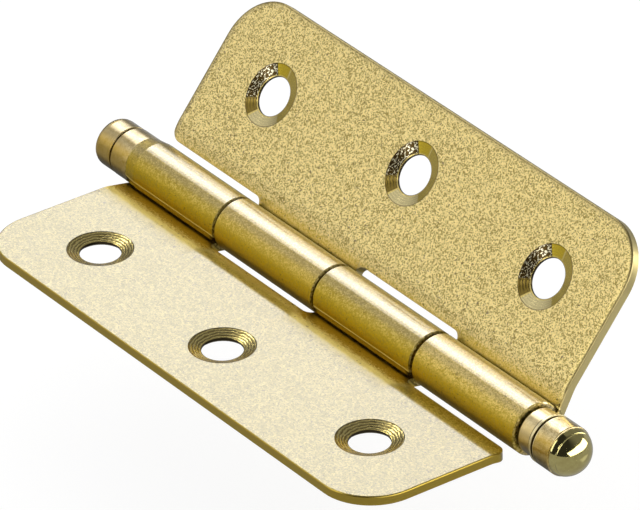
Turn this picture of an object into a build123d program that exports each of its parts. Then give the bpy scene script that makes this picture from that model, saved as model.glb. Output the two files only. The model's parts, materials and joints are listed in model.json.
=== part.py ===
from build123d import *
from math import acos, atan2, cos, degrees, hypot, radians, sin, sqrt
import os

# A decorative butt hinge: two leaves of sheet, each rolled into two knuckles, on a pin with turned ends.
# X runs along the pin, from the flat cap to the ball tip. The fixed leaf lies flat towards -Y, its back on Z = 0.
# The origin is the axis of that leaf's middle screw hole, at the leaf's back. All sizes are in millimetres.

# The sheet and the pin
sheet = 1.2
pin_diameter = 4.5
running_clearance = 0.05

# The leaves
leaf_length = 80.0
leaf_reach = 26.1
outer_corner_radius = 7.0
barrel_corner_radius = 1.6
axis_above_back = 2.35
opening_angle = 129.0
face_edge_ease = 0.2

# The shallow bend that sets each leaf in towards the pin's axis
bend_start = 6.8
bend_radius = 5.0

# The knuckles, counted from the capped end. The fourth takes what is left of the length.
first_knuckle = 19.03
second_knuckle = 20.28
third_knuckle = 19.66
first_gap = 0.2
second_gap = 0.28
third_gap = 0.45
knuckle_edge_break = 0.18

# The rolled sheet's free end: where the roll stops, and the short length that stays straight
roll_end_angle = 193.0
free_end_kink = 10.0
free_end_length = 0.6

# The notches that clear the other leaf's knuckles
notch_distance = 4.2
notch_corner_radius = 1.0

# The screw holes: a shallow countersink, a short throat and an eased edge at the back
hole_radius = 2.6
countersink_radius = 4.2
countersink_depth = 0.6
hole_back_ease = 0.35
outer_hole_from_middle = 27.85
outer_hole_distance = 15.6
middle_hole_distance = 17.1

# The first knuckle's end, closed in on the pin
crimp_length = 2.0
crimp_drop = 0.22

# The pin's head: collar, lip, groove, cylinder and dome
head_gap = 0.3
head_collar_radius = 3.0
head_collar_length = 2.3
head_lip_length = 0.4
head_cylinder_length = 3.05
dome_radius = 3.23
dome_setback = 0.7

# The cap on the pin's other end, and what both ends share
finial_radius = 3.25
groove_depth = 0.3
groove_width = 0.35
turned_edge_break = 0.15
cap_collar_length = 3.2
cap_length = 3.35
cap_edge_radius = 0.8
spigot_radius = 1.5
spigot_length = 4.5
spigot_spare = 0.4

# How far a cutting shape reaches past what it cuts: for most, and for a knuckle's corners, where the roll's free
# end lies close to the leaf's face. Then how near an edge must lie to count as on a face.
cut_spare = 1.0
corner_spare = 0.25
edge_tolerance = 0.01

# Radii and depths that follow. Depths are below the pin's axis, in the leaf's own frame.
pin_radius = pin_diameter / 2
bore_radius = pin_radius + running_clearance
barrel_radius = bore_radius + sheet
half_sheet = sheet / 2
middle_radius = barrel_radius - half_sheet
middle_depth = axis_above_back - half_sheet
face_depth = axis_above_back - sheet
cut_height = 2 * (barrel_radius + cut_spare)

# Places along the pin
half_length = leaf_length / 2
first_end = -half_length + first_knuckle
second_start = first_end + first_gap
second_end = second_start + second_knuckle
third_start = second_end + second_gap
third_end = third_start + third_knuckle
fourth_start = third_end + third_gap

# The slope between the bend and the roll: the line that touches both circles from opposite sides
bend_drop = middle_depth + bend_radius
bend_span = hypot(bend_start, bend_drop)
slope = degrees(atan2(bend_start, bend_drop) - acos((bend_radius + middle_radius) / bend_span))

# A leaf's own frame has its origin on the pin's axis, its barrel towards +y and its face towards +z.
# The moving leaf's x runs the other way along the pin, so one description serves both leaves.
full_circle = 360.0
half_turn = full_circle / 2
quarter_turn = full_circle / 4
raised = radians(half_turn - opening_angle)
axis_point = (0, middle_hole_distance, axis_above_back)
fixed_frame = Plane(origin=axis_point, x_dir=(1, 0, 0), z_dir=(0, 0, 1))
moving_frame = Plane(origin=axis_point, x_dir=(-1, 0, 0), z_dir=(0, -sin(raised), cos(raised)))
pin_plane = Plane(origin=axis_point, x_dir=(1, 0, 0), z_dir=(0, -1, 0))
pin_axis = Axis(axis_point, (1, 0, 0))


def on_circle(center, radius, angle):
    """The point of a circle at an angle in degrees."""
    return (center[0] + radius * cos(radians(angle)), center[1] + radius * sin(radians(angle)))


def moved(point, direction, distance):
    """A point moved along a direction."""
    return (point[0] + direction[0] * distance, point[1] + direction[1] * distance)


# The corners of the rolled sheet's section, with y and z of the leaf's frame
axis_center = (0.0, 0.0)
face_edge = (-leaf_reach, -face_depth)
back_edge = (-leaf_reach, -axis_above_back)
face_bend = (-bend_start, -face_depth)
back_bend = (-bend_start, -axis_above_back)
bend_center = (-bend_start, -bend_drop)
bend_turn = quarter_turn - slope
roll_start_angle = -quarter_turn - slope
face_slope_start = on_circle(bend_center, bend_radius + half_sheet, bend_turn)
back_slope_start = on_circle(bend_center, bend_radius - half_sheet, bend_turn)
face_slope_end = on_circle(axis_center, bore_radius, roll_start_angle)
back_slope_end = on_circle(axis_center, barrel_radius, roll_start_angle)

# The free end leaves the roll at a slight kink and stays straight
strip_angle = roll_end_angle - free_end_kink
strip_along = on_circle(axis_center, 1, strip_angle + quarter_turn)
strip_inward = on_circle(axis_center, 1, strip_angle + half_turn)
strip_top = on_circle(axis_center, barrel_radius, roll_end_angle)
strip_foot = moved(strip_top, strip_along, free_end_length)
inner_foot = moved(strip_foot, strip_inward, sheet)
foot_along = inner_foot[0] * strip_along[0] + inner_foot[1] * strip_along[1]
foot_across = inner_foot[0] * strip_inward[0] + inner_foot[1] * strip_inward[1]
inner_strip_length = foot_along - sqrt(bore_radius**2 - foot_across**2)
inner_top = moved(inner_foot, strip_along, -inner_strip_length)
inner_top_angle = degrees(atan2(inner_top[1], inner_top[0])) % full_circle
roll_sweep = roll_end_angle + free_end_kink - roll_start_angle


def section_plane(frame):
    """The plane at the leaf's x = -half_length end, where its section is drawn."""
    end = frame.from_local_coords((-half_length, 0, 0))
    return Plane(origin=end, x_dir=frame.y_dir, z_dir=frame.x_dir)


def radial_plane(frame, angle):
    """The plane through the pin's axis that reaches out at an angle of the leaf's section."""
    outward = frame.y_dir * cos(radians(angle)) + frame.z_dir * sin(radians(angle))
    return Plane(origin=frame.origin, x_dir=frame.x_dir, z_dir=frame.x_dir.cross(outward))


def draw_section():
    """The rolled sheet's section: flat, bend, slope, roll and straight free end."""
    Line(back_edge, face_edge)
    Line(face_edge, face_bend)
    CenterArc(bend_center, bend_radius + half_sheet, quarter_turn, -slope)
    Line(face_slope_start, face_slope_end)
    CenterArc(axis_center, bore_radius, roll_start_angle, inner_top_angle - roll_start_angle)
    Line(inner_top, inner_foot)
    Line(inner_foot, strip_foot)
    Line(strip_foot, strip_top)
    CenterArc(axis_center, barrel_radius, roll_end_angle, roll_start_angle - roll_end_angle)
    Line(back_slope_end, back_slope_start)
    CenterArc(bend_center, bend_radius - half_sheet, bend_turn, slope)
    Line(back_bend, back_edge)


def knuckle_corner(frame, end, outward, size, run):
    """The triangle that takes a knuckle's outer corner off: size deep at its end, nothing at run from it."""
    tilt = size / run
    beyond = end + outward * corner_spare
    within = end - outward * (run + corner_spare)
    crest = barrel_radius + corner_spare * (1 + tilt)
    with BuildSketch(radial_plane(frame, roll_start_angle)) as corner:
        with BuildLine():
            Polyline(
                (beyond, barrel_radius - size - corner_spare * tilt),
                (within, barrel_radius + corner_spare * tilt),
                (within, crest),
                (beyond, crest),
                close=True,
            )
        make_face()
    return corner.sketch


def corners_at(outline, y, lowest_x, highest_x):
    """The outline's corners on one line across the leaf, between two places along it."""
    found = []
    for corner in outline.vertices():
        on_line = abs(corner.Y - y) < edge_tolerance
        if on_line and lowest_x - edge_tolerance < corner.X < highest_x + edge_tolerance:
            found.append(corner)
    return found


def blank_outline(frame):
    """The leaf's outline before its notches are cut: square at the barrel, with two round outer corners."""
    with BuildSketch(frame.offset(-barrel_radius - cut_spare)) as outline:
        with BuildLine():
            Polyline(
                (-half_length, -leaf_reach),
                (half_length, -leaf_reach),
                (half_length, barrel_radius + cut_spare),
                (-half_length, barrel_radius + cut_spare),
                close=True,
            )
        make_face()
        fillet(corners_at(outline, -leaf_reach, -half_length, half_length), outer_corner_radius)
    return outline.sketch


def middle_notch(frame, start, end):
    """The notch between the leaf's two knuckles, for one of the other leaf's."""
    with BuildSketch(frame.offset(-barrel_radius - cut_spare)) as notch:
        with BuildLine():
            Polyline(
                (start, barrel_radius + cut_spare),
                (start, -notch_distance),
                (end, -notch_distance),
                (end, barrel_radius + cut_spare),
                close=True,
            )
        make_face()
        fillet(corners_at(notch, -notch_distance, start, end), notch_corner_radius)
    return notch.sketch


def end_notch(frame, start):
    """The notch from a knuckle to the leaf's end, where it leaves the leaf a round corner."""
    corner_x = half_length - barrel_corner_radius
    corner_y = -notch_distance - barrel_corner_radius
    with BuildSketch(frame.offset(-barrel_radius - cut_spare)) as notch:
        with BuildLine():
            CenterArc((corner_x, corner_y), barrel_corner_radius, 0, quarter_turn)
            Polyline(
                (corner_x, -notch_distance),
                (start, -notch_distance),
                (start, barrel_radius + cut_spare),
                (half_length + cut_spare, barrel_radius + cut_spare),
                (half_length + cut_spare, corner_y),
                (half_length, corner_y),
            )
        make_face()
        fillet(corners_at(notch, -notch_distance, start, start), notch_corner_radius)
    return notch.sketch


def face_rim(frame, leaf):
    """The leaf's outer edges on its face side: the ends, the long edge and the two round corners."""
    rim = []
    for edge in leaf.edges():
        place = frame.to_local_coords(edge.center())
        on_face = abs(place.Z + face_depth) < edge_tolerance
        near_end = abs(place.X) > half_length - outer_corner_radius
        near_long_edge = place.Y < -leaf_reach + outer_corner_radius
        if on_face and (near_end or near_long_edge):
            rim.append(edge)
    return rim


def hole_center(frame, x, distance):
    """The middle of a screw hole at the leaf's back, its distance measured from the pin's axis."""
    return frame.from_local_coords((x, -distance, -axis_above_back))


def screw_hole(frame, x, distance):
    """Half the section of what a screw hole takes away, in the plane through its axis."""
    back_reach = hole_radius + hole_back_ease + cut_spare
    with BuildSketch(Plane(origin=hole_center(frame, x, distance), x_dir=frame.x_dir, z_dir=-frame.y_dir)) as hole:
        with BuildLine():
            Polyline(
                (0, -cut_spare),
                (back_reach, -cut_spare),
                (hole_radius, hole_back_ease),
                (hole_radius, sheet - countersink_depth),
                (countersink_radius, sheet),
                (countersink_radius, sheet + cut_spare),
                (0, sheet + cut_spare),
                close=True,
            )
        make_face()
    return hole.sketch


# Where each leaf's screw holes are, along the leaf and out from the pin's axis
screw_places = [
    (-outer_hole_from_middle, outer_hole_distance),
    (0, middle_hole_distance),
    (outer_hole_from_middle, outer_hole_distance),
]

# The fixed leaf: its section along its whole length, its round corners, then its notches, which leave it the
# first and third knuckles
with BuildPart() as fixed_leaf:
    with BuildSketch(section_plane(fixed_frame)):
        with BuildLine():
            draw_section()
        make_face()
    extrude(amount=leaf_length)
    extrude(blank_outline(fixed_frame), amount=cut_height, mode=Mode.INTERSECT)
    fillet(face_rim(fixed_frame, fixed_leaf.part), face_edge_ease)
    extrude(middle_notch(fixed_frame, first_end, third_start), amount=cut_height, mode=Mode.SUBTRACT)
    extrude(end_notch(fixed_frame, third_end), amount=cut_height, mode=Mode.SUBTRACT)
    fixed_axis = Axis(fixed_frame.origin, fixed_frame.x_dir)
    crimp = knuckle_corner(fixed_frame, -half_length, -1, crimp_drop, crimp_length)
    revolve(crimp, axis=fixed_axis, revolution_arc=roll_sweep, mode=Mode.SUBTRACT)
    for end, outward in ((first_end, 1), (third_start, -1), (third_end, 1)):
        corner = knuckle_corner(fixed_frame, end, outward, knuckle_edge_break, knuckle_edge_break)
        revolve(corner, axis=fixed_axis, revolution_arc=roll_sweep, mode=Mode.SUBTRACT)
    with BuildSketch(radial_plane(fixed_frame, roll_start_angle)):
        with BuildLine():
            Polyline(
                (-half_length, pin_radius),
                (-half_length + crimp_length, pin_radius),
                (-half_length + crimp_length, pin_radius + half_sheet),
                (-half_length, pin_radius + half_sheet),
                close=True,
            )
        make_face()
    revolve(axis=fixed_axis, revolution_arc=inner_top_angle - roll_start_angle)
    for x, distance in screw_places:
        hole_axis = Axis(hole_center(fixed_frame, x, distance), fixed_frame.z_dir)
        revolve(screw_hole(fixed_frame, x, distance), axis=hole_axis, mode=Mode.SUBTRACT)
fixed_leaf.part.label = "fixed_leaf"

# The moving leaf, with the second and fourth knuckles. Its x runs the other way, so it starts at the ball's end.
with BuildPart() as moving_leaf:
    with BuildSketch(section_plane(moving_frame)):
        with BuildLine():
            draw_section()
        make_face()
    extrude(amount=leaf_length)
    extrude(blank_outline(moving_frame), amount=cut_height, mode=Mode.INTERSECT)
    fillet(face_rim(moving_frame, moving_leaf.part), face_edge_ease)
    extrude(middle_notch(moving_frame, -fourth_start, -second_end), amount=cut_height, mode=Mode.SUBTRACT)
    extrude(end_notch(moving_frame, -second_start), amount=cut_height, mode=Mode.SUBTRACT)
    moving_axis = Axis(moving_frame.origin, moving_frame.x_dir)
    for end, outward in ((-half_length, -1), (-fourth_start, 1), (-second_end, -1), (-second_start, 1)):
        corner = knuckle_corner(moving_frame, end, outward, knuckle_edge_break, knuckle_edge_break)
        revolve(corner, axis=moving_axis, revolution_arc=roll_sweep, mode=Mode.SUBTRACT)
    for x, distance in screw_places:
        hole_axis = Axis(hole_center(moving_frame, x, distance), moving_frame.z_dir)
        revolve(screw_hole(moving_frame, x, distance), axis=hole_axis, mode=Mode.SUBTRACT)
moving_leaf.part.label = "moving_leaf"

# Places along the pin's head, and the radius where its dome begins
collar_start = half_length + head_gap
collar_end = collar_start + head_collar_length
lip_end = collar_end + head_lip_length
head_groove_end = lip_end + groove_width
cylinder_end = head_groove_end + head_cylinder_length
dome_base_radius = sqrt(dome_radius**2 - dome_setback**2)
dome_middle_x = cylinder_end - dome_setback
dome_tip = dome_middle_x + dome_radius
dome_base_angle = degrees(atan2(dome_base_radius, dome_setback))
groove_radius = finial_radius - groove_depth

# The pin: rod, spigot for the cap, and the turned head
with BuildPart() as hinge_pin:
    with BuildSketch(pin_plane):
        with BuildLine():
            Polyline(
                (dome_tip, 0),
                (-half_length - spigot_length, 0),
                (-half_length - spigot_length, spigot_radius),
                (-half_length, spigot_radius),
                (-half_length, pin_radius),
                (collar_start, pin_radius),
                (collar_start, head_collar_radius - turned_edge_break),
                (collar_start + turned_edge_break, head_collar_radius),
                (collar_end, head_collar_radius),
                (collar_end, finial_radius - turned_edge_break),
                (collar_end + turned_edge_break, finial_radius),
                (lip_end, finial_radius),
                (lip_end, groove_radius),
                (head_groove_end, groove_radius),
                (head_groove_end, finial_radius - turned_edge_break),
                (head_groove_end + turned_edge_break, finial_radius),
                (cylinder_end - turned_edge_break, finial_radius),
                (cylinder_end, dome_base_radius),
            )
            CenterArc((dome_middle_x, 0), dome_radius, dome_base_angle, -dome_base_angle)
        make_face()
    revolve(axis=pin_axis)
hinge_pin.part.label = "hinge_pin"

# Places along the cap
cap_collar_end = -half_length - cap_collar_length
cap_start = cap_collar_end - groove_width
cap_end = cap_start - cap_length
spigot_hole_end = -half_length - spigot_length - spigot_spare
collar_radius = barrel_radius - crimp_drop

# The cap: collar, groove and a flat end with a round edge, bored for the pin's spigot
with BuildPart() as end_finial:
    with BuildSketch(pin_plane):
        with BuildLine():
            Polyline(
                (cap_end, finial_radius - cap_edge_radius),
                (cap_end, 0),
                (spigot_hole_end, 0),
                (spigot_hole_end, spigot_radius),
                (-half_length, spigot_radius),
                (-half_length, collar_radius),
                (cap_collar_end, collar_radius),
                (cap_collar_end, groove_radius),
                (cap_start, groove_radius),
                (cap_start, finial_radius - turned_edge_break),
                (cap_start - turned_edge_break, finial_radius),
                (cap_end + cap_edge_radius, finial_radius),
            )
            edge_center = (cap_end + cap_edge_radius, finial_radius - cap_edge_radius)
            CenterArc(edge_center, cap_edge_radius, quarter_turn, quarter_turn)
        make_face()
    revolve(axis=pin_axis)
end_finial.part.label = "end_finial"

os.makedirs("parts", exist_ok=True)
export_step(fixed_leaf.part, "parts/fixed_leaf.step")
export_step(moving_leaf.part, "parts/moving_leaf.step")
export_step(hinge_pin.part, "parts/hinge_pin.step")
export_step(end_finial.part, "parts/end_finial.step")
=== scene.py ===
# %% [markdown]
# # A decorative butt hinge
#
# The hinge is two leaves of pressed steel on one turned pin, all of it plated in satin brass under a thin
# clear lacquer. Its parts come from the CAD frame, which this lesson loads first. What is left to do here
# is the look: the grain of the plating, the rings that the countersink left, the lines of the turned ends,
# and a studio whose soft boxes and dark cards give the metal something to mirror.

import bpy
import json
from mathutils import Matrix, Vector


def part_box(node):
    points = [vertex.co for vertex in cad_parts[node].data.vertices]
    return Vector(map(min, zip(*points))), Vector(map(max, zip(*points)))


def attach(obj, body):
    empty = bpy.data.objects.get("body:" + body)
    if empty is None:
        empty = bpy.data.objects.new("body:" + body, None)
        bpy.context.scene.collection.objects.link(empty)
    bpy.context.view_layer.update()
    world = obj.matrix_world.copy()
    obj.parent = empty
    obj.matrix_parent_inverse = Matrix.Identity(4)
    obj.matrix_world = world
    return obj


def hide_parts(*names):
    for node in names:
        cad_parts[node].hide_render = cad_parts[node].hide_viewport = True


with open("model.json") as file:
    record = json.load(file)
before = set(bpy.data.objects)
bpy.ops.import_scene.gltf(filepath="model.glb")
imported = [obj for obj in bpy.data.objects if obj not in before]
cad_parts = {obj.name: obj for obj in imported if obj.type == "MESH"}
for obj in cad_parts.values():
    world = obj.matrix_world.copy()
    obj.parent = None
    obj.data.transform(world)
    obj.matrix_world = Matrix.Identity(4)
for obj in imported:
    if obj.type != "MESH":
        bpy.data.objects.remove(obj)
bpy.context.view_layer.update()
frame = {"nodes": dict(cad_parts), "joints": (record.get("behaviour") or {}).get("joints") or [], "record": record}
print("nodes:", sorted(frame["nodes"]))

# %% [markdown]
# ## Sizes that come from the frame
#
# Nothing is measured twice. The pin's axis is the joint's own axis, the screw holes are the record's
# mounts, and the leaves' reach and the barrel's radius are read from the boxes of the nodes. Lengths are in
# metres, so a small value is written as a number of millimetres times `mm`.

# %% Read the axis, the holes and the leaves' frames
import bpy
import json
import math
from types import SimpleNamespace

import numpy as np
from mathutils import Matrix, Vector

mm = 0.001
joint = frame["joints"][0]
axis_point = Vector(joint["pos_m"])
mounts = {mount["name"]: mount for mount in frame["record"]["mounts"]}
fixed_low, fixed_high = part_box("fixed_leaf")
half_length = (fixed_high.x - fixed_low.x) / 2
leaf_reach = axis_point.y - fixed_low.y
barrel_radius = (fixed_high.z - fixed_low.z) / 2


def leaf_frame(leaf, along):
    """The leaf's own axes as rows: along the pin, out from the leaf to the barrel, and up from its face."""
    face_up = Vector(mounts[leaf + "_middle_hole"]["axis"]).normalized()
    along = Vector(along)
    return Matrix((along, face_up.cross(along), face_up))


fixed_frame = leaf_frame("fixed_leaf", (1, 0, 0))
moving_frame = leaf_frame("moving_leaf", (-1, 0, 0))


def in_leaf(point, rows):
    """A point of the frame in a leaf's own axes, counted from the pin's axis."""
    return rows @ (Vector(point) - axis_point)


middle_hole = in_leaf(mounts["fixed_leaf_middle_hole"]["pos_m"], fixed_frame)
outer_hole = in_leaf(mounts["fixed_leaf_right_hole"]["pos_m"], fixed_frame)
hole_radius = mounts["fixed_leaf_middle_hole"]["dims"]["r_mm"] * mm
print("reach", round(leaf_reach / mm, 2), "barrel radius", round(barrel_radius / mm, 2),
      "outer hole", [round(v / mm, 2) for v in outer_hole])

# %% [markdown]
# ## Shader maths as plain Python
#
# A material's pattern is arithmetic on coordinates. Wiring dozens of Math nodes by hand hides it, so one
# small class wraps a socket and gives it Python's operators: `1 - mask * 2` adds the nodes itself. A second
# class is a material with one method that adds any other kind of node.


# %% A socket that knows arithmetic
class Value:
    """A number that changes over the surface: the output socket of a node."""

    def __init__(self, tree, socket):
        self.tree = tree
        self.socket = socket

    def math(self, operation, *others):
        """The result of a Math node on this value and the others."""
        made = self.tree.nodes.new("ShaderNodeMath")
        made.operation = operation
        for place, item in zip(made.inputs, (self, *others)):
            if isinstance(item, Value):
                self.tree.links.new(item.socket, place)
            else:
                place.default_value = item
        return Value(self.tree, made.outputs[0])

    def __add__(self, other):
        return self.math("ADD", other)

    def __sub__(self, other):
        return self.math("SUBTRACT", other)

    def __rsub__(self, other):
        return (self * -1) + other

    def __mul__(self, other):
        return self.math("MULTIPLY", other)

    def __truediv__(self, other):
        return self.math("DIVIDE", other)

    def __pow__(self, other):
        return self.math("POWER", other)

    __radd__ = __add__
    __rmul__ = __mul__

    def at_most(self, other):
        """The smaller of the two."""
        return self.math("MINIMUM", other)

    def at_least(self, other):
        """The larger of the two."""
        return self.math("MAXIMUM", other)

    def size(self):
        """The value without its sign."""
        return self.math("ABSOLUTE")

    def rise(self, low, high):
        """0 below low, 1 above high and a smooth step between. With low above high it falls instead."""
        if low > high:
            return 1 - self.rise(high, low)
        made = self.tree.nodes.new("ShaderNodeMapRange")
        made.interpolation_type = "SMOOTHSTEP"
        self.tree.links.new(self.socket, made.inputs["Value"])
        made.inputs["From Min"].default_value = low
        made.inputs["From Max"].default_value = high
        return Value(self.tree, made.outputs[0])

    def within(self, low, high, soft):
        """1 between low and high, falling smoothly to 0 over the width soft on either side."""
        return self.rise(low - soft, low) * self.rise(high + soft, high)


def wave(value):
    """The sine of a value in radians."""
    return value.math("SINE")


def length_of(first, second):
    """The hypotenuse of two values."""
    return (first * first + second * second) ** 0.5


# %% A tree with one method for every other node
class Tree:
    """The node tree of a material or of the world."""

    def __init__(self, owner):
        owner.use_nodes = True
        self.tree = owner.node_tree
        self.tree.nodes.clear()

    def node(self, kind, settings=None, inputs=None, output=0):
        """Adds a node: its settings first, then values or links for its sockets. Gives one output, by its
        name or its number."""
        made = self.tree.nodes.new(kind)
        for name, setting in (settings or {}).items():
            setattr(made, name, setting)
        for name, item in (inputs or {}).items():
            if isinstance(item, Value):
                self.tree.links.new(item.socket, made.inputs[name])
            else:
                made.inputs[name].default_value = item
        return Value(self.tree, made.outputs[output]) if made.outputs else made

    def parts(self, vector):
        """The x, y and z of a vector."""
        made = self.node("ShaderNodeSeparateXYZ", inputs={"Vector": vector})
        return [Value(self.tree, socket) for socket in made.socket.node.outputs]

    def mix(self, share, first, second):
        """A colour between two others."""
        inputs = {"Factor": share, "A": first, "B": second}
        made = self.tree.nodes.new("ShaderNodeMix")
        made.data_type = "RGBA"
        for name, place in (("Factor", 0), ("A", 6), ("B", 7)):
            if isinstance(inputs[name], Value):
                self.tree.links.new(inputs[name].socket, made.inputs[place])
            else:
                made.inputs[place].default_value = inputs[name]
        return Value(self.tree, made.outputs[2])


# %% [markdown]
# ## The leaves' coordinates
#
# Object coordinates are the frame's own, so the raised leaf would get its pattern tilted. A Mapping node
# turns them into the leaf's own axes, and both leaves then share one description: x along the pin, y out to
# the barrel, z up from the face, all counted from the pin's axis.

# %% Coordinates in a leaf's own axes
def leaf_point(tree, rows):
    """The surface point in the leaf's axes: turned by the rows of the leaf's frame, then moved to the pin."""
    coordinates = tree.node("ShaderNodeTexCoord", output="Object")
    return tree.node("ShaderNodeMapping", {"vector_type": "POINT"}, {
        "Vector": coordinates, "Location": rows @ -axis_point, "Rotation": rows.to_euler()})


# %% [markdown]
# ## The turned pin and cap
#
# The pin with its ball tip, and the cap at the other end, came off a lathe, so each is one line turned
# about the pin's axis. A cylinder with a bevel would do for the plain parts, but not for the lip, the
# grooves and the fine line that the tool left on the ball. So the line itself is drawn here, corner by
# corner, and carried round. The two pieces stand for the CAD's own pin and cap, which have the same shape
# without the fine lines.


# %% A line with rounded corners
def rounded_line(corners, steps=6):
    """The points of a line through corners given as (x, radius, setback), in millimetres.
    Each corner becomes the parabola that leaves one side at the setback and joins the next side at the same
    distance: (1-s)^2 * before + 2s(1-s) * corner + s^2 * after. A point just outside each keeps the shading
    flat."""
    corners = np.array(corners, float)
    point, setback = corners[:, None, :2], corners[:, None, 2:]
    before = np.roll(point, 1, axis=0) - point
    after = np.roll(point, -1, axis=0) - point
    before, after = (side / np.linalg.norm(side, axis=2, keepdims=True) for side in (before, after))
    share = np.linspace(0, 1, steps)[None, :, None]
    arc = point + (1 - share) ** 2 * setback * before + share ** 2 * setback * after
    margin = 1.4 * setback
    line = np.concatenate([point + margin * before, arc, point + margin * after], axis=1)
    return np.concatenate([corners[:1, :2], line[1:-1].reshape(-1, 2), corners[-1:, :2]])


# %% A surface turned about the pin's axis
def turned_piece(name, line, node, around=144):
    """The surface (x, axis + r cos a, axis + r sin a) of a line of (x, r), with one vertex at each end on the
    axis."""
    line = line * mm
    angle = np.linspace(0, 2 * math.pi, around, endpoint=False)
    x, radius = line[1:-1, 0, None], line[1:-1, 1, None]
    rings = np.stack([x + 0 * angle, axis_point.y + radius * np.cos(angle),
                      axis_point.z + radius * np.sin(angle)], axis=2)
    poles = np.array([(end, axis_point.y, axis_point.z) for end in (line[0, 0], line[-1, 0])])
    points = np.concatenate([rings.reshape(-1, 3), poles])
    ring_count = len(rings)
    number = np.arange(ring_count * around).reshape(ring_count, around)
    follow = np.roll(number, -1, axis=1)
    quads = np.stack([number[:-1], follow[:-1], follow[1:], number[1:]], axis=2).reshape(-1, 4)
    low_pole, high_pole = len(points) - 2, len(points) - 1
    fans = [np.stack([follow[0], number[0], np.full(around, low_pole)], axis=1),
            np.stack([number[-1], follow[-1], np.full(around, high_pole)], axis=1)]
    mesh = bpy.data.meshes.new(name)
    mesh.from_pydata(points.tolist(), [], quads.tolist() + np.concatenate(fans).tolist())
    mesh.shade_smooth()
    piece = bpy.data.objects.new(name, mesh)
    bpy.context.scene.collection.objects.link(piece)
    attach(piece, "fixed")
    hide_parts(node)
    print(name, "faces", len(mesh.polygons))
    return piece


# %% The pin with its collar, lip, groove and ball tip
# Places along the pin and radii, in millimetres as in the line's corners.
barrel_half = 40.0
pin_radius, spigot_radius = 2.25, 1.5
head_start, collar_radius = 40.3, 3.0
lip_start, lip_end, head_radius = 42.6, 43.0, 3.25
groove_end, groove_radius = 43.35, 2.95
ball_start, ball_middle, ball_radius = 46.46, 45.7, 3.23
mark_place, mark_depth, mark_width = 47.25, 0.055, 0.075

ball_angle = np.linspace(math.acos((ball_start - ball_middle) / ball_radius), 0, 110)
ball_x = ball_middle + ball_radius * np.cos(ball_angle)
marked_radius = ball_radius - mark_depth * np.exp(-((ball_x - mark_place) / mark_width) ** 2)
ball_line = np.stack([ball_middle + marked_radius * np.cos(ball_angle),
                      marked_radius * np.sin(ball_angle)], axis=1)
ball_line[-1, 1] = 0
pin_line = rounded_line([
    (-44.5, 0, 0), (-44.5, spigot_radius, 0.1), (-barrel_half, spigot_radius, 0.05),
    (-barrel_half, pin_radius, 0.1), (head_start, pin_radius, 0.05),
    (head_start, collar_radius, 0.14), (lip_start, collar_radius, 0.05),
    (lip_start, head_radius, 0.13), (lip_end, head_radius, 0.07), (lip_end, groove_radius, 0.06),
    (groove_end, groove_radius, 0.06), (groove_end, head_radius, 0.12), (46.36, head_radius, 0.13),
    (46.40, 3.06, 0.03), (ball_start, float(ball_line[0, 1]), 0)])
turned_pin = turned_piece("turned_pin", np.concatenate([pin_line, ball_line[1:]]), "hinge_pin")

# %% The cap pressed on the pin's other end
cap_collar_radius = 3.28
cap_line = rounded_line([
    (-46.9, 0, 0), (-46.9, head_radius, 0.8), (-43.55, head_radius, 0.13), (-43.55, groove_radius, 0.06),
    (-43.2, groove_radius, 0.06), (-43.2, cap_collar_radius, 0.07), (-barrel_half, cap_collar_radius, 0.05),
    (-barrel_half, spigot_radius, 0.1), (-44.9, spigot_radius, 0.1), (-44.9, 0, 0)])
turned_cap = turned_piece("turned_cap", cap_line, "end_finial")


# %% [markdown]
# ## Where things are on a leaf
#
# Most of a leaf's finish follows its shape: the lacquer draws back from the edges, the plating is deeper in
# the bend, the drill leaves rings in the countersinks. So the material has to know how far a point is from
# the outline, from the holes and from the pin. Painting a map would do that, but a formula needs no image
# and stays sharp: the outline is a rectangle with round corners, less the notches for the other leaf's
# knuckles.


# %% The knuckles' places along each leaf
# A triangle of a knuckle lies at least this far past the axis, and two knuckles are at least this far apart.
past_axis = barrel_radius / 3
knuckle_gap = 1 * mm


def knuckle_spans(leaf, rows):
    """The first and last x, in the leaf's own axes, of each knuckle: of each run of triangles that overlap
    along the pin and lie past its axis, where the leaf has nothing but its knuckles. Sorted by where they
    start, a triangle begins a new run when it starts beyond all that came before it."""
    mesh = frame["nodes"][leaf].data
    points = np.empty(3 * len(mesh.vertices))
    mesh.vertices.foreach_get("co", points)
    points = (points.reshape(-1, 3) - np.array(axis_point)) @ np.array(rows).T
    corners = np.empty(len(mesh.loops), np.int32)
    mesh.loops.foreach_get("vertex_index", corners)
    triangles = points[corners.reshape(-1, 3)]
    x = triangles[(triangles[:, :, 1] > past_axis).all(axis=1), :, 0]
    x = x[np.argsort(x.min(axis=1))]
    first, end = x.min(axis=1), np.maximum.accumulate(x.max(axis=1))
    last = np.flatnonzero(first[1:] > end[:-1] + knuckle_gap)
    firsts, ends = first[np.append(0, last + 1)], end[np.append(last, len(end) - 1)]
    return [(float(first), float(end)) for first, end in zip(firsts, ends)]


leaf_axes = {"fixed_leaf": fixed_frame, "moving_leaf": moving_frame}
knuckles = {leaf: knuckle_spans(leaf, rows) for leaf, rows in leaf_axes.items()}
for leaf, spans in knuckles.items():
    print(leaf, "knuckles", [(round(first / mm, 2), round(end / mm, 2)) for first, end in spans])

# %% The distance from the sheet's outline
outer_corner = 7.0 * mm
notch_distance = 4.2 * mm


def outline_distance(x, y, spans):
    """How far inside the sheet's outer edges, and how far outside the notches, a point of the leaf lies.
    A round corner's distance is its radius less the hypotenuse of what is missing from the radius on each
    side."""
    side, far = half_length - x.size(), y + leaf_reach
    corner = outer_corner - length_of((outer_corner - side).at_least(0), (outer_corner - far).at_least(0))
    beside_knuckle = sum(x.within(first, end, 0.4 * mm) for first, end in spans)
    notch = (y * -1) - notch_distance + beside_knuckle * leaf_reach
    return corner, notch


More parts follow.
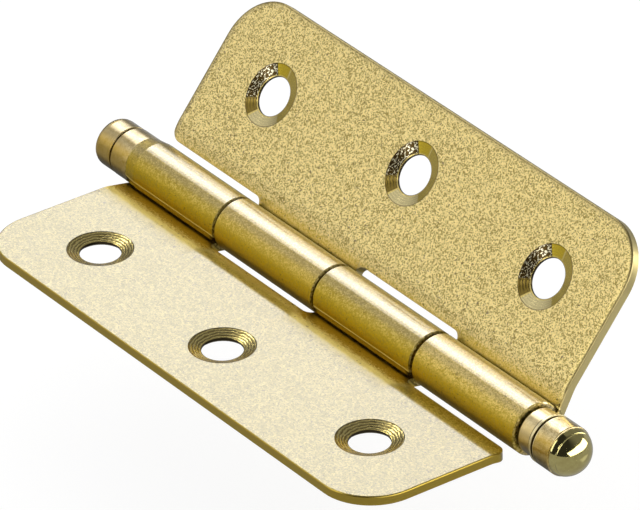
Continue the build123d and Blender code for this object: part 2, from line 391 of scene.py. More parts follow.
# %% The distance from the nearest screw hole, and the way round it
hole_places = [(-outer_hole.x, outer_hole.y), (0.0, middle_hole.y), (outer_hole.x, outer_hole.y)]


def nearest_hole(x, y):
    """The distance to the nearest screw hole's axis, and the angle round it in radians."""
    distance, angle = None, None
    for hole_x, hole_y in hole_places:
        east, north = x - hole_x, y - hole_y
        here = length_of(east, north)
        turn = north.math("ARCTAN2", east)
        if distance is None:
            distance, angle = here, turn
        else:
            nearer = here.math("LESS_THAN", distance)
            angle = nearer * turn + (1 - nearer) * angle
            distance = distance.at_most(here)
    return distance, angle


# %% [markdown]
# ## Satin brass under clear lacquer
#
# The leaves were blasted, plated and lacquered. The blasting leaves grains about a sixth of a millimetre
# across, each tilted its own way and so each of its own lightness. The lacquer over them is smooth and
# mirrors the softbox as a pale veil. Two materials and a mask could make this, but one shader is enough: a
# rough metal with a colour for each grain, under a coat whose weight says how much lacquer there is.

# %% The brass's colours
edge_brass_and_shade = (0.56, 0.40, 0.065, 1.0)
edge_pale_and_highlight = (0.74, 0.62, 0.28, 1.0)
brass_low_side_shade = (0.66, 0.44, 0.004, 1.0)
brass_warm = (0.66, 0.46, 0.075, 1.0)
brass_machined = (0.90, 0.76, 0.32, 1.0)
countersink_gold = (0.90, 0.66, 0.05, 1.0)
countersink_beige = (1.0, 0.86, 0.45, 1.0)
dash_white = (1.0, 0.92, 0.64, 1.0)
ring_brown = (0.30, 0.21, 0.04, 1.0)
# Dark brown for real specks and the chatter's dashes, and for painted shade on the arris and the countersinks'
# rims.
speck_and_shade_brown = (0.10, 0.06, 0.01, 1.0)
# Near black for painted shade, in the holes' throats and at the knuckles' feet.
deep_shade_brown = (0.045, 0.03, 0.008, 1.0)
bend_shade_brown = (0.52, 0.355, 0.03, 1.0)
bend_reflection_gold = (1.0, 0.76, 0.12, 1.0)


# %% Noise and grains
def noise(tree, point, size, detail=2.0):
    """Cloudy noise between about 0.3 and 0.7, whose grains are about the given size across."""
    return tree.node("ShaderNodeTexNoise", {"noise_dimensions": "3D"},
                     {"Vector": point, "Scale": 1 / size, "Detail": detail, "Roughness": 0.55})


def grains(tree, point, size):
    """A number of its own between 0 and 1 for each grain of the given size."""
    cells = tree.node("ShaderNodeTexVoronoi", {"voronoi_dimensions": "3D"},
                      {"Vector": point, "Scale": 1 / size}, output="Color")
    return tree.parts(cells)[0]


# %% [markdown]
# ## What differs between the two leaves
#
# The near leaf is pale, with a fine grain and even rings in its countersinks. The raised leaf is golder and
# coarser, and the drill chattered in it. One recipe serves both, so the values that differ are named here,
# once for each leaf. Distances marked "from the pin" are counted along the leaf from the pin's axis.

# %% The two leaves' values
near_look = SimpleNamespace(
    # The darkest and the palest grain, how light they are on the whole, how large and how unlike each other. How
    # light they are is partly painted light: both leaves are one brass, and the raised leaf is set lighter because
    # it mirrors the dim side of the room.
    dark=(0.26, 0.20, 0.02, 1.0), pale=(0.84, 0.68, 0.22, 1.0), tone=0.25,
    grain_size=0.17 * mm, grain_depth=0.8,
    # The share of its lacquer that the darkest grain lacks, and what the last knuckle is lighter by.
    veil_loss=0.05, last_knuckle_light=0.0,
    # The bend's painted colour (shade on the near leaf, a reflection of the barrel's gold on the raised one), its
    # share, and where from the pin it is full and where it has gone.
    bend_painted_colour=bend_shade_brown, bend_share=0.85, bend_full=4.6 * mm, bend_gone=6.4 * mm,
    # Where from the pin the metal is bare, and where the lacquer is whole again.
    bare_until=4.9 * mm, whole_from=8.6 * mm,
    # The share of the painted highlight on the bend's shoulder, which also scales the shoulder's bump, and how far
    # the bend's colour draws back at a notch, and at the last one.
    shoulder_share=0.45, notch_shift=1.5 * mm, last_notch_shift=1.2 * mm,
    # The sheared edge: its colour, the width of the painted rim beside it, the share of the painted dark line of
    # shade along the arris, and how far the arris is drawn down.
    edge_colour=edge_brass_and_shade, rim_width=0.35 * mm, edge_line_share=0.0, drawn_down=0.0,
    # How much the drill chattered, and the angle round a knuckle that looks down, where its painted shade sits.
    chatter_share=0.0, low_angle=180)
raised_look = SimpleNamespace(
    dark=(0.35, 0.255, 0.035, 1.0), pale=(1.0, 0.79, 0.27, 1.0), tone=0.66,
    grain_size=0.155 * mm, grain_depth=2.2,
    veil_loss=0.6, last_knuckle_light=0.3,
    bend_painted_colour=bend_reflection_gold, bend_share=0.7, bend_full=3.1 * mm, bend_gone=5.3 * mm,
    bare_until=2.7 * mm, whole_from=3.9 * mm,
    shoulder_share=0.0, notch_shift=0.0, last_notch_shift=0.0,
    edge_colour=edge_pale_and_highlight, rim_width=0.8 * mm, edge_line_share=0.5, drawn_down=0.13 * mm,
    chatter_share=1.0, low_angle=50)

# %% [markdown]
# ## What a point of the leaf lies on
#
# A finish is mostly a question of place: on a rolled knuckle or on the flat, in a countersink, on the
# sheared edge, near a knuckle's end. Vertex colours could say so, but the CAD's triangles are far too large
# for them. Masks from formulas are sharp at any size. They are worked out once here and handed on together,
# and the steps that follow put their own masks beside them.

# %% Places as masks
countersink_radius = 4.2 * mm
degrees = 180 / math.pi
# The roll is near the pin's axis and past a place on the way to it, each with a soft limit.
off_roll, on_roll = 3.9 * mm, 3.65 * mm
before_roll, past_bend = -4.4 * mm, -3.7 * mm
# The fades of the sheared edge and of a neck's side, which starts at a place of its own.
edge_fade = (0.15 * mm, 0.04 * mm)
neck_fade = (0.10 * mm, 0.04 * mm)
neck_start = (-4.7 * mm, -4.5 * mm)


def nearest_end(x, spans):
    """The distance along the pin to the nearest end of a knuckle."""
    distance = None
    for end in (end for span in spans for end in span):
        here = (x - end).size()
        distance = here if distance is None else distance.at_most(here)
    return distance


def leaf_places(tree, leaf, look):
    """The point's coordinates, and masks from 0 to 1 for what it lies on."""
    point = leaf_point(tree, leaf_axes[leaf])
    x, y, z = tree.parts(point)
    spans = knuckles[leaf]
    at = SimpleNamespace(point=point, x=x, y=y, z=z, spans=spans)
    at.rolled = length_of(y, z).rise(off_roll, on_roll) * y.rise(before_roll, past_bend)
    at.flat = 1 - at.rolled
    at.angle = (z * -1).math("ARCTAN2", y * -1) * degrees + 180
    at.outer, notch = outline_distance(x, y, spans)
    at.knuckle = sum(x.within(first, end, 0.3 * mm) for first, end in spans)
    at.end_distance = nearest_end(x, spans)
    at.reach, at.around = nearest_hole(x, y)
    at.drilled = at.reach.rise(countersink_radius + 0.03 * mm, countersink_radius - 0.02 * mm) * at.flat
    notch_side = y.rise(-notch_distance - 0.15 * mm, -notch_distance + 0.05 * mm) * (1 - at.knuckle)
    neck_side = at.end_distance.rise(*neck_fade) * y.rise(*neck_start)
    edge = at.outer.at_most(notch).rise(*edge_fade)
    at.sheared = edge.at_least(notch_side).at_least(neck_side) * at.flat
    at.plain = (1 - at.drilled) * (1 - at.sheared)
    at.grain = grains(tree, point, look.grain_size)
    return at


# %% [markdown]
# ## The grain's colour
#
# Each grain takes a colour between the leaf's darkest and palest one. On the knuckles the grain is flatter,
# because the rolling burnished it, and the metal is warmer. A slow mottle over both stops the pattern from
# looking printed.

# %% Grain on the flat and on the knuckles
mottle_size = 0.6 * mm
mottle_depth, rolled_mottle_gain = 0.3, 0.8
rolled_depth, rolled_tone, rolled_warmth = 1.3, 0.12, 0.45
# The light that gives the darkest colour, and the light that gives the palest.
darkest, palest = -0.25, 1.25
# The raised leaf's last knuckle lies past this gap.
last_gap = (-19 * mm, -21 * mm)


def satin(tree, at, look):
    """The colour at light, which is the grain's own number spread about the leaf's tone."""
    mottle = noise(tree, at.point, mottle_size) - 0.5
    own = at.grain - 0.5
    last_knuckle = at.x.rise(*last_gap) * look.last_knuckle_light
    flat_light = own * look.grain_depth * at.plain + look.tone
    rolled_light = own * rolled_depth + rolled_tone + last_knuckle
    light = flat_light + (rolled_light - flat_light) * at.rolled
    light += mottle * (mottle_depth + at.rolled * rolled_mottle_gain)
    colour = tree.mix(light.rise(darkest, palest), look.dark, look.pale)
    return tree.mix(at.rolled * rolled_warmth, colour, brass_warm)


# %% [markdown]
# ## The bend and the edges
#
# Where the sheet bends down to the knuckles the lacquer cracked off, and the metal's colour there is painted:
# brown shade on the near leaf and a deep gold reflection of the barrel on the raised one. Where the sheet was
# sheared it is bare. The painted colour fades over a millimetre or two, grain by grain, so the distance from the
# pin gets a share of the grain before it is compared. A clean gradient would look sprayed.

# %% Colours by the distance from the pin and from the outline
grain_spread = 1.2 * mm
beside_width = 2 * mm
last_notch_width = 5 * mm
rim_share = 0.5
low_shade_half_angle = 44
# The back's arris: how far from the outline and how high from the axis its painted dark line of shade reaches.
arris_width, arris_height = (0.36 * mm, 0.24 * mm), (-1.40 * mm, -1.28 * mm)


def distance_from_pin(at, look):
    """The distance from the pin with the grain's spread added, and more beside the notches."""
    beside = sum(at.x.within(first, end, beside_width) for first, end in at.spans)
    last_end = at.spans[1][1]
    last_notch = at.x.rise(last_end, last_end + last_notch_width)
    shift = (1 - beside) * look.notch_shift + last_notch * look.last_notch_shift
    return (at.y * -1) + (at.grain - 0.5) * grain_spread + shift


def bend_and_edges(tree, at, look, colour):
    """The bend's painted shade and reflection with its shoulder's painted highlight, the painted rim, the painted
    shade on the knuckles' low side, the sheared edge and the painted dark line of shade along its arris.
    """
    # Painted colour in the bend: brown shade on the near leaf, a gold reflection of the barrel on the raised one.
    bend = at.from_pin.rise(look.bend_gone, look.bend_full) * at.flat
    colour = tree.mix(bend * look.bend_share, colour, look.bend_painted_colour)
    # Painted highlight: the bend's shoulder is mixed towards the pale grain.
    shoulder = at.from_pin.within(look.bend_gone - 1.0 * mm, look.bend_gone + 0.2 * mm, 0.6 * mm) * at.flat
    colour = tree.mix(shoulder * look.shoulder_share, colour, look.pale)
    # Painted rim beside the outline: painted shade on the near leaf, a pale painted highlight on the raised one.
    at.rim = at.outer.rise(look.rim_width, 0) * at.flat
    colour = tree.mix(at.rim * rim_share, colour, look.edge_colour)
    # Painted shade: the side of a knuckle that looks down turns a deeper, darker brass.
    low = ((at.angle - look.low_angle) / low_shade_half_angle).size().rise(1.0, 0.35) * at.rolled
    colour = tree.mix(low * (at.grain * 0.6 + 0.4), colour, brass_low_side_shade)
    colour = tree.mix(at.sheared, colour, look.edge_colour)
    # Painted shade: a dark line along the back's arris.
    arris = at.outer.rise(*arris_width) * at.z.rise(*arris_height) * at.flat
    at.edge_line = arris * look.edge_line_share
    return tree.mix(at.edge_line, colour, speck_and_shade_brown)


# %% [markdown]
# ## The countersinks
#
# A drill leaves fine rings, and where it chatters it leaves facets instead. In the raised leaf one facet is
# covered in short bright dashes, the next is brown, one is beige and one gold, with a crease between some.
# The rings are the sine of the distance from the hole, upset a little by noise. The dashes are noise on
# coordinates that are short along the radius and long around it. Cutting all this into the mesh would take
# a fine grid for grooves a hundredth of a millimetre deep, so colour and a slight bump stand for it.

# %% Rings, dashes and facets
ring_pitch = 0.36 * mm
ring_upset = 7
dash_width = 0.19 * mm
dashes_around = 11
# Where the facets lie round the hole, in degrees from the leaf's own x towards the pin.
dashed_facet, brown_facet, beige_facet, gold_facet = (-64, 28), (28, 62), (66, 140), (-100, -66)
dim_facet = (62, 120)
outer_facet_starts = ((100, 120), (-100, -104))
crease_bands = ((-103, -101, 2), (62, 64, 2))


def machining(tree, at, look):
    """The tool's marks from -1 to 1: even rings, or dashes where the drill chattered, and next to nothing on
    the smooth facets. The angle, the dashes and the chattered part are kept for the colours."""
    at.way = at.around * degrees
    dash_place = tree.node("ShaderNodeCombineXYZ", None, {
        "X": at.reach / dash_width, "Y": wave(at.around) * dashes_around,
        "Z": wave(at.around + math.pi / 2) * dashes_around})
    at.dash = noise(tree, dash_place, 1.0, 1.0).rise(0.52, 0.57)
    at.chattered = at.way.within(*dashed_facet, 5) * look.chatter_share
    upset = (noise(tree, at.point, 0.7 * mm, 1.0) - 0.5) * ring_upset
    even_rings = wave(at.reach * (2 * math.pi / ring_pitch) + at.around + upset)
    rings = even_rings * (1 - at.chattered) + (at.dash * 2 - 1) * at.chattered
    smooth_facets = at.way.within(*brown_facet, 3) + at.way.within(*gold_facet, 3)
    smooth_facets += sum(at.way.rise(*start) for start in outer_facet_starts)
    dim = at.way.within(*dim_facet, 3) * 0.6
    return rings * (1 - ((smooth_facets + dim) * look.chatter_share).at_most(1) * 0.85)


def countersinks(tree, at, look, colour):
    """The machined cone and its facets, a painted dark line of shade at its rim, a painted highlight at the hole's
    lip and painted shade down its throat.
    """
    machined = tree.mix((at.rings + 1) * 0.5, ring_brown, brass_machined)
    machined = tree.mix(at.chattered, machined, tree.mix(at.dash, speck_and_shade_brown, dash_white))
    machined = tree.mix(at.way.within(*brown_facet, 3) * look.chatter_share, machined, ring_brown)
    gold = at.way.within(*gold_facet, 2) + (at.way.rise(-100, -104) + at.way.rise(120, 150)) * 0.5
    machined = tree.mix(gold * look.chatter_share, machined, countersink_gold)
    beige = at.way.within(*beige_facet, 4) * look.chatter_share
    machined = tree.mix(beige * 0.7, machined, countersink_beige)
    creases = sum(at.way.within(*band) for band in crease_bands)
    machined = tree.mix(creases * look.chatter_share, machined, look.pale)
    colour = tree.mix(at.drilled, colour, machined)
    # Painted shade: a dark line at the countersink's rim.
    rim_line = at.reach.within(countersink_radius - 0.07 * mm, countersink_radius, 0.04 * mm) * at.drilled
    colour = tree.mix(rim_line * 0.7, colour, speck_and_shade_brown)
    # Painted highlight: a pale line at the hole's lip.
    hole_lip_highlight = at.reach.within(hole_radius + 0.07 * mm, hole_radius + 0.17 * mm, 0.05 * mm)
    colour = tree.mix(hole_lip_highlight * 0.8, colour, look.pale)
    # Painted shade: the throat of the hole goes near black.
    throat_shade = at.reach.rise(hole_radius + 0.07 * mm, hole_radius + 0.03 * mm)
    return tree.mix(throat_shade, colour, deep_shade_brown)


# %% [markdown]
# ## Small marks
#
# Dark specks sit in the lacquer, more of them near the bend. The rest is painted light: a painted highlight along
# the knuckle where the roll ends, a painted highlight broken into beads round the knuckles' ends, and painted
# shade in the corner at a knuckle's foot. They are small, but the eye looks for them: without them a hinge looks
# cast in plastic.

# %% Specks, and the painted highlights and shade at the free edge, the ends and the foot
speck_size, speck_share = 0.33 * mm, 0.75
# A speck is where the noise is higher than this, and near the bend a little less is enough.
speck_edge, near_bend_gain = (0.79, 0.815), 0.035
bead_size = 0.34 * mm
free_edge_angle = 191.8
end_rim_width = (0.24 * mm, 0.12 * mm)
# The corner at a knuckle's foot, and how far its painted shade reaches along the leaf, up and along the pin.
foot_distance, foot_height = 3.6 * mm, 1.2 * mm
foot_reach, foot_rise, foot_length = (0.90 * mm, 0.5 * mm), (0.42 * mm, 0.22 * mm), (1.2 * mm, 0.4 * mm)


def small_marks(tree, at, look, colour):
    """Specks where slow noise peaks, and painted highlights and shade at fixed places."""
    near_bend = (at.y * -1).rise(14 * mm, 6 * mm)
    spot = noise(tree, at.point, speck_size, 0.0)
    speck = (spot + near_bend * near_bend_gain).rise(*speck_edge) * at.plain * (1 - at.rolled * 0.5)
    colour = tree.mix(speck * speck_share, colour, speck_and_shade_brown)
    # Painted highlight: a pale line along the knuckle where the roll ends.
    at.free_edge = (at.angle - free_edge_angle).size().rise(2.8, 1.0) * at.rolled
    colour = tree.mix(at.free_edge, colour, look.pale)
    # Painted highlight round the knuckles' ends, broken by noise into bright and dark beads.
    beads = noise(tree, at.point, bead_size, 0.0).rise(0.40, 0.60)
    end_rim = at.end_distance.rise(*end_rim_width) * at.rolled
    colour = tree.mix(end_rim * 0.6, colour, tree.mix(beads, ring_brown, look.pale))
    # Painted shade in the corner at a knuckle's foot.
    foot = (at.y + foot_distance).size().rise(*foot_reach) * (at.z + foot_height).size().rise(*foot_rise)
    at.dirt = foot * at.knuckle * at.end_distance.rise(*foot_length)
    return tree.mix(at.dirt * 0.9, colour, deep_shade_brown)


# %% [markdown]
# ## Relief and lacquer
#
# The bump follows the blasting, the rings and the roll's free edge. It also draws the arris of the raised
# leaf down, and it levels the near leaf where the bend begins, because there the rough metal still mirrors
# the softbox. The lacquer is missing on the bend, the edges, the machined cones and the knuckles' low side,
# and a dark grain holds less of it than a pale one.

# %% Bump and coat
blast_size = 0.29 * mm
blast_depth = 0.03 * mm
ring_depth = 0.010 * mm
dash_depth = 0.05 * mm
free_edge_height = 0.12 * mm
shoulder_height = 0.6 * mm
shoulder_foot, shoulder_top = 7.1 * mm, 5.1 * mm
drawn_in_width = 0.9 * mm
bare_half_angle = 62


def relief(tree, at, look):
    """The height over the surface in metres."""
    blast = noise(tree, at.point, blast_size, 1.0) * blast_depth * at.plain
    cuts = at.drilled * at.rings * (ring_depth + at.chattered * dash_depth)
    drawn_in = at.outer.rise(drawn_in_width, 0) * at.flat * look.drawn_down
    shoulder = at.from_pin.rise(shoulder_foot, shoulder_top) * look.shoulder_share * shoulder_height * at.flat
    return blast + cuts - drawn_in + at.free_edge * free_edge_height + shoulder


def lacquer(at, look):
    """The share of lacquer that is left: the product of what each place keeps of it."""
    veil = 1 - (1 - at.grain) * look.veil_loss * at.flat
    thin = at.from_pin.rise(look.whole_from, look.bare_until) * at.flat
    low = ((at.angle - look.low_angle) / bare_half_angle).size().rise(1.0, 0.65) * at.rolled
    bare = at.rim * 0.7 + at.edge_line * 0.3
    return (veil * (1 - thin) * (1 - bare) * (1 - at.sheared) * (1 - at.drilled * 0.9)
            * (1 - low) * (1 - at.dirt))


# %% The leaves' material
def leaf_finish(leaf, look):
    """Blasted, plated and lacquered brass on one leaf."""
    made = bpy.data.materials.new(leaf + "_brass")
    tree = Tree(made)
    at = leaf_places(tree, leaf, look)
    at.from_pin = distance_from_pin(at, look)
    at.rings = machining(tree, at, look)
    colour = satin(tree, at, look)
    colour = bend_and_edges(tree, at, look, colour)
    colour = countersinks(tree, at, look, colour)
    colour = small_marks(tree, at, look, colour)
    bump = tree.node("ShaderNodeBump", None, {
        "Height": relief(tree, at, look), "Distance": 1.0, "Strength": 1.0})
    shader = tree.node("ShaderNodeBsdfPrincipled", None, {
        "Base Color": colour, "Metallic": 1.0, "Roughness": 0.42 - at.drilled * 0.22 - at.sheared * 0.1,
        "Normal": bump, "Coat Weight": lacquer(at, look), "Coat Roughness": 0.10, "Coat IOR": 2.05})
    tree.node("ShaderNodeOutputMaterial", None, {"Surface": shader})
    node = frame["nodes"][leaf]
    node.data.materials.clear()
    node.data.materials.append(made)
    print(leaf, "shader nodes", len(made.node_tree.nodes))


leaf_finish("fixed_leaf", near_look)
leaf_finish("moving_leaf", raised_look)

# %% [markdown]
# ## The turned ends' finish
#
# The pin's head and the cap were turned and polished, so they are smoother than the leaves, with a clean ball.
# Polish is never even: the cylinders are cloudy and the cap is duller. The grooves, the corner before the lip and
# the gap behind the head get painted shade, the underside gets painted shade too, and the lips' edges get painted
# highlights. The shade could be found by its depth, with a node that shoots rays, but the grooves' places are
# known, so masks along the pin do it at once.

# %% Turned and polished brass
turned_dark = (0.46, 0.32, 0.09, 1.0)
turned_pale = (0.92, 0.75, 0.37, 1.0)
cap_dull = (0.46, 0.34, 0.12, 1.0)
turned_underside_shade = (0.62, 0.39, 0.03, 1.0)
ball_dark = (0.62, 0.51, 0.15, 1.0)
ball_pale = (0.80, 0.71, 0.24, 1.0)
collar_pale = (0.95, 0.78, 0.42, 1.0)
lip_highlight_pale = (1.0, 0.88, 0.50, 1.0)
groove_shade_brown = (0.06, 0.035, 0.01, 1.0)
# Masks along the pin with their soft width: the collar, the lips' painted highlights and the painted shade before
# them.
groove_middle = 43.25 * mm
groove_depth, groove_half = (3.16 * mm, 3.04 * mm), (0.32 * mm, 0.22 * mm)
collar_band = (40.5 * mm, 42.6 * mm, 0.1 * mm)
lip_highlight_bands = ((42.62 * mm, 43.0 * mm, 0.04 * mm), (43.36 * mm, 43.50 * mm, 0.06 * mm))
dirt_band = (42.36 * mm, 42.58 * mm, 0.04 * mm)
# The ball's start, the cap's start, and the angle round the pin that looks down, where the painted shade of the
# underside sits.
ball_from, ball_full = 46.42 * mm, 46.5 * mm
cap_from, cap_full = -40 * mm, -42 * mm
turned_low_angle, turned_low_half = 165, 42


def turned_finish():
    """Cloudy on the cylinders, clean on the ball, with painted shade in the grooves and on the underside and
    painted highlights on the lips.
    """
    made = bpy.data.materials.new("turned_brass")
    tree = Tree(made)
    point = leaf_point(tree, fixed_frame)
    x, y, z = tree.parts(point)
    ball = x.rise(ball_from, ball_full)
    cloud = noise(tree, point, 0.7 * mm) - 0.5
    fine = noise(tree, point, 0.16 * mm) - 0.5
    light = cloud * 1.6 + fine * 1.4 * (1 - ball) + 0.5
    colour = tree.mix(light.rise(0, 1), turned_dark, turned_pale)
    colour = tree.mix(x.rise(cap_from, cap_full) * 0.6, colour, cap_dull)
    angle = (z * -1).math("ARCTAN2", y * -1) * degrees + 180
    # Painted shade: the underside of the turned pieces turns a deeper brass.
    low = ((angle - turned_low_angle) / turned_low_half).size().rise(1.0, 0.4)
    colour = tree.mix(low * 0.6, colour, turned_underside_shade)
    colour = tree.mix(ball, colour, tree.mix((cloud * 1.2 + 0.5).rise(0, 1), ball_dark, ball_pale))
    collar = x.within(*collar_band)
    colour = tree.mix(collar * 0.5, colour, collar_pale)
    groove = length_of(y, z).rise(*groove_depth) * (x.size() - groove_middle).size().rise(*groove_half)
    # Painted highlights: bright lines on the lips' edges.
    lip_highlights = sum(x.within(*band) for band in lip_highlight_bands)
    colour = tree.mix(lip_highlights * (1 - groove) * 0.8, colour, lip_highlight_pale)
    # Painted shade in the grooves, in the corner before the lip and in the gap behind the head.
    before_lip = x.within(*dirt_band)
    behind_head = x.rise(40.5 * mm, 40.35 * mm) * x.rise(39 * mm, 39.5 * mm)
    colour = tree.mix(groove.at_least(behind_head).at_least(before_lip) * 0.9, colour, groove_shade_brown)
    shader = tree.node("ShaderNodeBsdfPrincipled", None, {
        "Base Color": colour, "Metallic": 1.0, "Roughness": 0.31 - ball * 0.23,
        "Coat Weight": 1 - low * (1 - ball) * 0.8, "Coat Roughness": 0.05, "Coat IOR": 1.7})
    tree.node("ShaderNodeOutputMaterial", None, {"Surface": shader})
    print("turned_brass shader nodes", len(made.node_tree.nodes))
    return made


turned_brass = turned_finish()
for piece in (turned_pin, turned_cap):
    piece.data.materials.append(turned_brass)

# %% [markdown]
# ## The camera
#
# The photograph was taken from above the near leaf with a long lens, so parallel edges stay nearly
# parallel. The camera is set by where it looks from, as an azimuth round the hinge, an elevation and a
# roll, and by the point that it looks at. A long lens far away is what flattens the view, and a shift isn't
# needed.

# %% Camera
camera_azimuth = 54.314
camera_elevation = 30.702
camera_roll = -1.1446
camera_distance = 1.06114
camera_lens = 486.69
camera_target = Vector((-8.381, 20.807, 2.35)) * mm


def place_camera():
    """Puts the camera back from its target, along the direction that the azimuth and the elevation give, and
    rolls it about that direction."""
    azimuth, elevation = math.radians(camera_azimuth), math.radians(camera_elevation)
    back = Vector((math.sin(azimuth) * math.cos(elevation), -math.cos(azimuth) * math.cos(elevation),
                   math.sin(elevation)))
    camera = bpy.data.objects.new("camera", bpy.data.cameras.new("camera"))
    bpy.context.scene.collection.objects.link(camera)
    camera.data.lens = camera_lens
    camera.data.sensor_width = 36
    camera.location = camera_target + back * camera_distance
    turn = (-back).to_track_quat("-Z", "Y").to_matrix() @ Matrix.Rotation(math.radians(camera_roll), 3, "Z")
    camera.rotation_euler = turn.to_euler()
    bpy.context.scene.camera = camera
    return back


view_direction = place_camera()
print("looking from", [round(v, 3) for v in view_direction])

# %% [markdown]
# ## The room and the floor
#
# The background of the photograph is pure white. A white world of strength 1 gives that and an even light.
# The floor keeps the hinge's shadow: part of it is plain white paper, and part shines, but only to the
# camera and in reflections, so that it throws no extra light on the metal.

# %% World
world = bpy.data.worlds.new("studio")
bpy.context.scene.world = world
tree = Tree(world)
background = tree.node("ShaderNodeBackground", None, {"Color": (1, 1, 1, 1), "Strength": 1.0})
tree.node("ShaderNodeOutputWorld", None, {"Surface": background})
world.cycles.sampling_method = "NONE"

# %% Floor
floor_height = axis_point.z - leaf_reach - 3 * mm
floor_half = 4.0
shining_share = 0.75
shining_level = 1.1


def stage_sheet(name, points, surface):
    """A sheet through a grid of points (rows, columns, 3), which belongs to the studio, not to the hinge."""
    rows, columns = points.shape[:2]
    number = np.arange(rows * columns).reshape(rows, columns)
    quads = np.stack([number[:-1, :-1], number[:-1, 1:], number[1:, 1:], number[1:, :-1]], axis=2)
    mesh = bpy.data.meshes.new(name)
    mesh.from_pydata(points.reshape(-1, 3).tolist(), [], quads.reshape(-1, 4).tolist())
    mesh.materials.append(surface)
    made = bpy.data.objects.new(name, mesh)
    bpy.context.scene.collection.objects.link(made)
    return made


def floor_surface():
    """White paper for the light, and mostly a white glow for the camera and for mirrors."""
    made = bpy.data.materials.new("floor_white")
    tree = Tree(made)
    by_camera, by_gloss, by_glass = (tree.node("ShaderNodeLightPath", output=name) for name in (
        "Is Camera Ray", "Is Glossy Ray", "Is Transmission Ray"))
    seen = by_camera.at_least(by_gloss).at_least(by_glass)
    paper = tree.node("ShaderNodeBsdfDiffuse", None, {"Color": (0.85, 0.85, 0.85, 1)})
    white = tree.node("ShaderNodeEmission", None, {"Color": (1, 1, 1, 1), "Strength": shining_level})
    both = tree.node("ShaderNodeMixShader", None, {0: seen * shining_share, 1: paper, 2: white})
    tree.node("ShaderNodeOutputMaterial", None, {"Surface": both})
    return made


floor_line = (-floor_half, floor_half)
floor_points = np.array([[(x, y, floor_height) for x in floor_line] for y in floor_line])
stage_sheet("floor", floor_points, floor_surface())

# %% [markdown]
# ## What the metal mirrors
#
# Brass has hardly a colour of its own: it shows what stands round it. The photographer's softbox makes the
# pale veil on the near leaf and the line along the barrel, a window shows in the ball, and dark flags give
# the ball and the countersinks their depth. Lamps would do this too, but a sky of cards is easier to shape,
# and the rays that light the floor never see it. So one dome stands round the hinge, seen in reflections
# alone, and its level at each point is a formula of the direction: `across` is the way round the pin,
# `along` the tilt along it, both in degrees. `key_tilt` is the tilt that the camera sees mirrored in every
# face that runs along the pin, so the softbox stands there.

# %% The sky of cards
sky_distance = 5.0


def smooth(value, start, end):
    """0 at start, 1 at end and a smooth step between, for arrays."""
    share = np.clip((value - start) / (end - start), 0, 1)
    return share * share * (3 - 2 * share)


def between(value, low, high, soft):
    """1 between low and high, falling smoothly to 0 over the width soft outside them."""
    return smooth(value, low - soft, low) * smooth(value, high + soft, high)


sky_azimuth, sky_elevation = np.meshgrid(np.radians(np.linspace(-180, 180, 361)),
                                         np.radians(np.linspace(-1.5, 90, 123)))
sky = np.stack([np.cos(sky_elevation) * np.cos(sky_azimuth), np.cos(sky_elevation) * np.sin(sky_azimuth),
                np.sin(sky_elevation)], axis=2)
across = np.degrees(np.arctan2(sky[..., 2], sky[..., 1]))
along = np.degrees(np.arcsin(sky[..., 0]))
azimuth, elevation = np.degrees(sky_azimuth), np.degrees(sky_elevation)
key_tilt = math.degrees(math.asin(-view_direction.x))

# %% Left side, flags and back
left_side = np.interp(across, (0, 30, 60, 105, 130, 150, 166, 182),
                      (0.22, 0.26, 0.32, 0.55, 0.74, 0.85, 0.68, 0.38))
left_side *= 0.45 + 0.55 * smooth(along, -78, -60)
front_flag = 0.03 + 0.17 * smooth(azimuth, -20, 55)
back_side = 0.40
rest = front_flag + (back_side - front_flag) * smooth(azimuth, 76, 82) * smooth(elevation, 18, 14)
level = rest + (left_side - rest) * smooth(along, -14, -20)

# %% Strip, softbox and window
strip_level, softbox_level, softbox_core, window_level = 2.2, 3.1, 2.4, 4.0
softbox_half_width = 3.4
end_strip = between(along, -27, -11, 4) * between(across, 128, 168, 8)
level += (strip_level - level) * end_strip
softbox = (smooth(across, 20, 45) * smooth(across, 97, 88)
           * between(along, key_tilt - softbox_half_width, key_tilt + softbox_half_width, 1.2))
level += (softbox_level + softbox_core * between(across, 59, 76, 9) - level) * softbox
window_low = np.interp(azimuth, (-30, -18, 21, 79), (14, 1.5, 5, 1.5))
window_high = np.interp(azimuth, (-30, -13, 19, 60, 79), (16, 22.5, 31, 27, 22))
window = between(azimuth, -29, 78, 1.5) * between(elevation, window_low, window_high, 0.8)
level += (window_level - level) * window


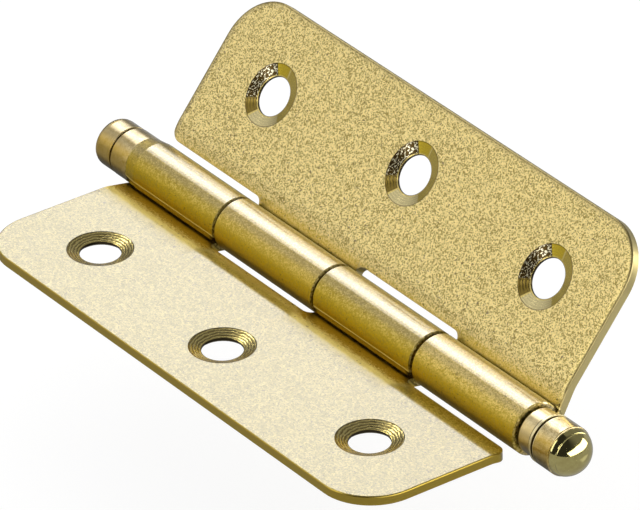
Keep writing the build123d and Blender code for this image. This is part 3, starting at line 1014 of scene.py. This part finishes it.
def card_surface(name):
    """A surface that shines at the level stored in the mesh."""
    made = bpy.data.materials.new(name)
    tree = Tree(made)
    level = tree.node("ShaderNodeAttribute", {"attribute_name": "level"}, output=2)
    grey = tree.node("ShaderNodeCombineXYZ", None, {"X": level, "Y": level, "Z": level})
    shine = tree.node("ShaderNodeEmission", None, {"Color": grey, "Strength": 1.0})
    tree.node("ShaderNodeOutputMaterial", None, {"Surface": shine})
    made.cycles.emission_sampling = "NONE"
    return made


def card(name, points, levels):
    """A studio card through a grid of points, which shines at a level for each and is seen in reflections
    alone."""
    made = stage_sheet(name, points, card_surface(name))
    stored = made.data.attributes.new("level", "FLOAT", "POINT")
    stored.data.foreach_set("value", np.broadcast_to(levels, points.shape[:2]).ravel().astype(np.float32))
    made.visible_camera = made.visible_shadow = made.visible_diffuse = False
    print(name, "levels", round(float(np.min(levels)), 2), "to", round(float(np.max(levels)), 2))


card("sky_of_cards", np.array(axis_point) + sky_distance * sky, level)

# %% [markdown]
# ## The grey cloth on the floor
#
# Downward faces mirror what the hinge stands over. On white paper they would be as pale as the sky, but in
# the photograph they are dim, darkest right under the knuckles. A grey card on the floor, seen in
# reflections alone, gives them that, and a lighter patch on it puts the soft gleam on the ball's underside.

# %% Cloth
cloth_line = np.sinh(np.linspace(-6, 6, 121)) * 0.02
cloth_x, cloth_y = np.meshgrid(cloth_line, cloth_line)
cloth_level, under_loss, patch_gain = 0.36, 0.27, 0.28
under = between(cloth_x, -75 * mm, 22 * mm, 20 * mm) * between(cloth_y, 2 * mm, 26 * mm, 22 * mm)
patch = between(cloth_x, 80 * mm, 106 * mm, 8 * mm) * between(cloth_y, 46 * mm, 82 * mm, 8 * mm)
cloth = np.stack([cloth_x, cloth_y, 0 * cloth_x + floor_height + 0.5 * mm], axis=2)
card("floor_cloth", cloth, cloth_level - under_loss * under + patch_gain * patch)

# %% [markdown]
# ## The last step
#
# The colours leave Blender as they are, with no film look laid over them.

# %% Keep the colours as they are
bpy.context.scene.view_settings.view_transform = "Standard"
